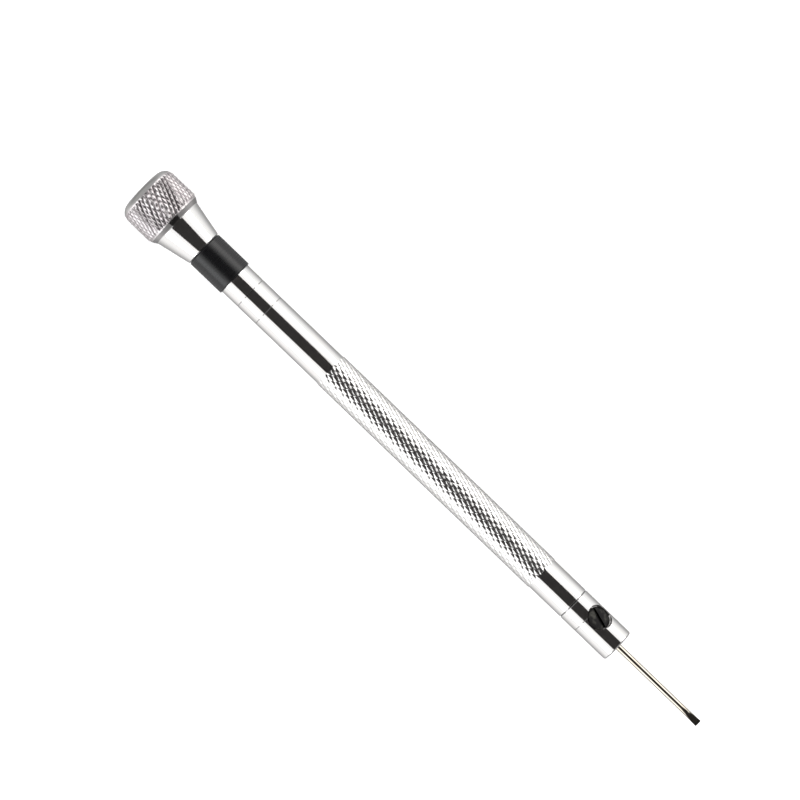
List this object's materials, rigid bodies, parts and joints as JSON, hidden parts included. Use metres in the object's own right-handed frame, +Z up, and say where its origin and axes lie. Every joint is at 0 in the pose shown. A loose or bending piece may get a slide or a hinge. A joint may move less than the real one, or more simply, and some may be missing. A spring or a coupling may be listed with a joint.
{
  "type": "watchmaker screwdriver",
  "caption": "Slim knurled screwdriver for watch screws, with a swivelling ball-bearing finger head, a black size sleeve, a flat blade clamped by a grub screw and spare blades in the handle.",
  "frame": {"origin": "centre of the blade tip's end face, on the tool's axis", "axes": "+X along the tool out of the blade tip, the finger head at -X; +Z up with the tool lying on its side, square to the blade's ground flats; the blade screw's axis leans 31.5 degrees from +Z to +Y"},
  "size_m": [0.1042, 0.0088, 0.0088],
  "materials": {
    "chrome_head": "polished nickel or chrome plate, coarse diamond knurl",
    "chrome_handle": "polished chrome plate, fine diamond knurl on the grip",
    "bearing_steel": "ground and oiled",
    "blade_steel": "ground tool steel with a slight straw tint",
    "black_screw": "black oxide",
    "black_sleeve": "satin moulded plastic",
    "seal_rubber": "matt"
  },
  "bodies": {
    "handle": {"handle_barrel": "chrome_handle", "chuck_nose": "chrome_handle"},
    "seal": {"plug_seal": "seal_rubber"},
    "rear_plug": {"rear_plug": "chrome_handle", "size_sleeve": "black_sleeve", "retaining_washer": "bearing_steel", "pivot_screw": "bearing_steel", "lower_race": "bearing_steel"},
    "head": {"swivel_head": "chrome_head", "finger_cap": "chrome_head", "upper_race": "bearing_steel"},
    "balls": {"bearing_ball_1": "bearing_steel", "bearing_ball_2": "bearing_steel", "bearing_ball_3": "bearing_steel", "bearing_ball_4": "bearing_steel", "bearing_ball_5": "bearing_steel", "bearing_ball_6": "bearing_steel", "bearing_ball_7": "bearing_steel", "bearing_ball_8": "bearing_steel", "bearing_ball_9": "bearing_steel", "bearing_ball_10": "bearing_steel"},
    "blade": {"blade": "blade_steel"},
    "blade_screw": {"blade_screw": "black_screw"},
    "spare_1": {"spare_blade_1": "blade_steel"},
    "spare_2": {"spare_blade_2": "blade_steel"},
    "spare_3": {"spare_blade_3": "blade_steel"}
  },
  "joints": [
    {"name": "rear_advance", "type": "slide", "parent": "handle", "child": "seal", "axis": [-1, 0, 0], "range_m": [0, 0.005]},
    {"name": "rear_unscrew", "type": "hinge", "parent": "seal", "child": "rear_plug", "pos_m": [-0.0839, 0, 0], "axis": [-1, 0, 0], "range_deg": [0, 3600]},
    {"name": "head_swivel", "type": "hinge", "parent": "rear_plug", "child": "head", "pos_m": [-0.10135, 0, 0], "axis": [-1, 0, 0], "continuous": true},
    {"name": "ball_orbit", "type": "hinge", "parent": "rear_plug", "child": "balls", "pos_m": [-0.10135, 0, 0], "axis": [-1, 0, 0], "continuous": true},
    {"name": "blade_pull", "type": "slide", "parent": "handle", "child": "blade", "axis": [1, 0, 0], "range_m": [0, 0.012]},
    {"name": "blade_screw_back_out", "type": "slide", "parent": "handle", "child": "blade_screw", "axis": [0, 0.5225, 0.8526], "range_m": [0, 0.0024]},
    {"name": "spare_1_shift", "type": "slide", "parent": "handle", "child": "spare_1", "axis": [-1, 0, 0], "range_m": [0, 0.0046]},
    {"name": "spare_2_shift", "type": "slide", "parent": "handle", "child": "spare_2", "axis": [-1, 0, 0], "range_m": [0, 0.0046]},
    {"name": "spare_3_shift", "type": "slide", "parent": "handle", "child": "spare_3", "axis": [-1, 0, 0], "range_m": [0, 0.0046]}
  ],
  "couplings": [
    {"joint": "rear_unscrew", "follows": "rear_advance", "rad_per_m": 12566},
    {"joint": "ball_orbit", "follows": "head_swivel", "ratio": 0.5}
  ]
}
